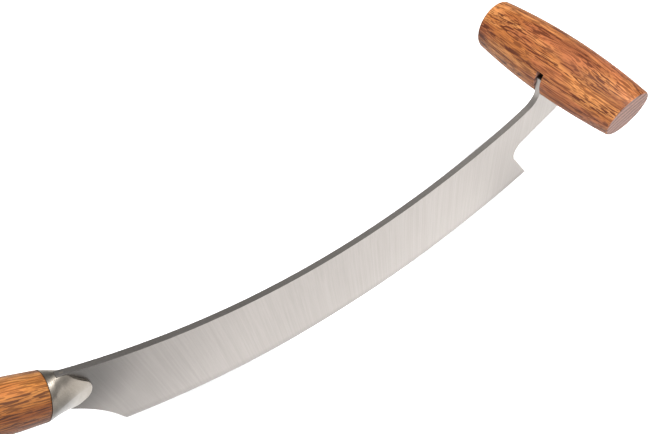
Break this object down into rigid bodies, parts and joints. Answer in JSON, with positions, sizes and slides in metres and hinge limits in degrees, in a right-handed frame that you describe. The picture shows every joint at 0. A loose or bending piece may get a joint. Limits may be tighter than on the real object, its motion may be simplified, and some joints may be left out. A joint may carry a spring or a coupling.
{
  "type": "two-handled curved cheese knife",
  "caption": "Curved rocker blade for cutting wheels of cheese, with a straight oak grip on a steel bolster at one end and an oak cross grip on an upright tab at the other.",
  "frame": {"origin": "centre of the bounding box in plan, at the lowest point of the cutting edge", "axes": "+X along the edge chord from the heel to the cross grip, +Y through the blade's thickness and along the cross grip, +Z from the cutting edge to the spine"},
  "size_m": [0.456, 0.103, 0.1613],
  "materials": {
    "blade_steel": "satin, fine grinding lines across the blade",
    "bolster_steel": "satin",
    "grip_oak": "oiled oak, open grain",
    "cross_grip_oak": "oiled oak, open grain",
    "adhesive": "cured epoxy"
  },
  "bodies": {
    "root": {"blade": "blade_steel", "bolster": "bolster_steel", "grip": "grip_oak", "grip_adhesive": "adhesive", "cross_grip": "cross_grip_oak", "cross_grip_adhesive": "adhesive"}
  },
  "joints": []
}
